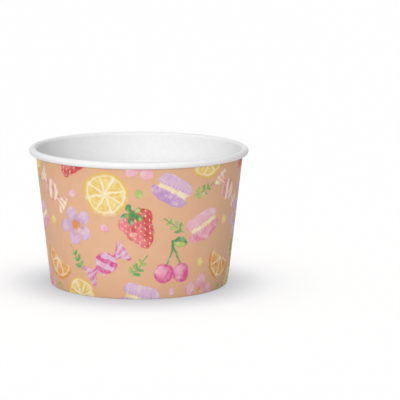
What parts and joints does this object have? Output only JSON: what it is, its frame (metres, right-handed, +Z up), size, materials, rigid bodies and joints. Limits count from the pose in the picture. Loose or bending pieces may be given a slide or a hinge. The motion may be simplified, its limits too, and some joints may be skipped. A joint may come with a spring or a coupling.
{
  "type": "paper dessert cup",
  "caption": "Round tapered paper cup with a rolled rim, a lapped side seam and a bottom disc set up inside its folded foot, for ice cream and other desserts.",
  "frame": {"origin": "centre of the foot, on the surface that the cup stands on", "axes": "+Z up along the cup's axis, -Y towards the front, with the side seam near +X"},
  "size_m": [0.096, 0.096, 0.06],
  "materials": {
    "printed_board": "satin printed paperboard, white inside and on the rolled rim",
    "white_board": "satin white coated paperboard"
  },
  "bodies": {
    "root": {"sidewall": "printed_board", "bottom_disc": "white_board"}
  },
  "joints": []
}
